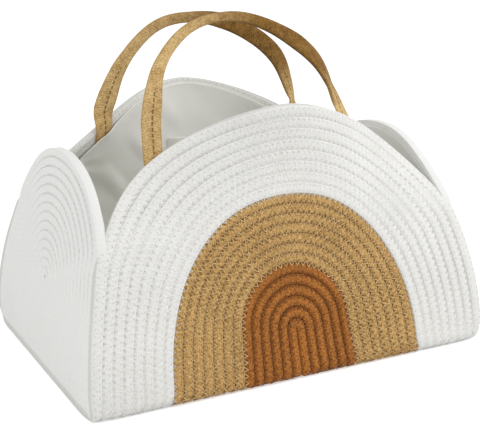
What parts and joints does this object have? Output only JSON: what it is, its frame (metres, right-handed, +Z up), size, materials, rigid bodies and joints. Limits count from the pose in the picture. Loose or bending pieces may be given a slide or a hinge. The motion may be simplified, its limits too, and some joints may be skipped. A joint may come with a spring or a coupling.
{
  "type": "rope caddy",
  "caption": "Coiled rope caddy with arched banded long walls, arched side walls, cloth lining, back pocket and two swinging strap handles.",
  "frame": {"origin": "on the floor, under the middle of the base", "axes": "+X along the long walls, towards the right end seen from the front; +Y from the front wall to the back wall; +Z up"},
  "size_m": [0.38, 0.2658, 0.3035],
  "materials": {
    "rust_rope": "rust brown woven cotton rope, matte, sewn course to course",
    "tan_rope": "tan woven cotton rope with paler thread, matte",
    "white_rope": "off-white woven cotton rope, matte",
    "lining_cloth": "light grey smooth cloth, matte",
    "strap": "coarse tan webbing, matte"
  },
  "bodies": {
    "basket": {"rust_rope": "rust_rope", "tan_rope": "tan_rope", "white_rope": "white_rope", "left_side_rope": "white_rope", "right_side_rope": "white_rope", "floor_lining": "lining_cloth", "front_lining": "lining_cloth", "back_lining": "lining_cloth", "left_lining": "lining_cloth", "right_lining": "lining_cloth", "back_pocket": "lining_cloth", "front_handle_left_end": "strap", "front_handle_right_end": "strap", "back_handle_left_end": "strap", "back_handle_right_end": "strap"},
    "front_handle": {"front_handle": "strap"},
    "back_handle": {"back_handle": "strap"}
  },
  "joints": [
    {"name": "front_handle_swing", "type": "hinge", "parent": "basket", "child": "front_handle", "pos_m": [-0.01555, -0.0601, 0.2198], "axis": [-1, 0, 0], "range_deg": [-85, 90]},
    {"name": "back_handle_swing", "type": "hinge", "parent": "basket", "child": "back_handle", "pos_m": [-0.00105, 0.0613, 0.2076], "axis": [1, 0, 0], "range_deg": [-75, 70]}
  ]
}
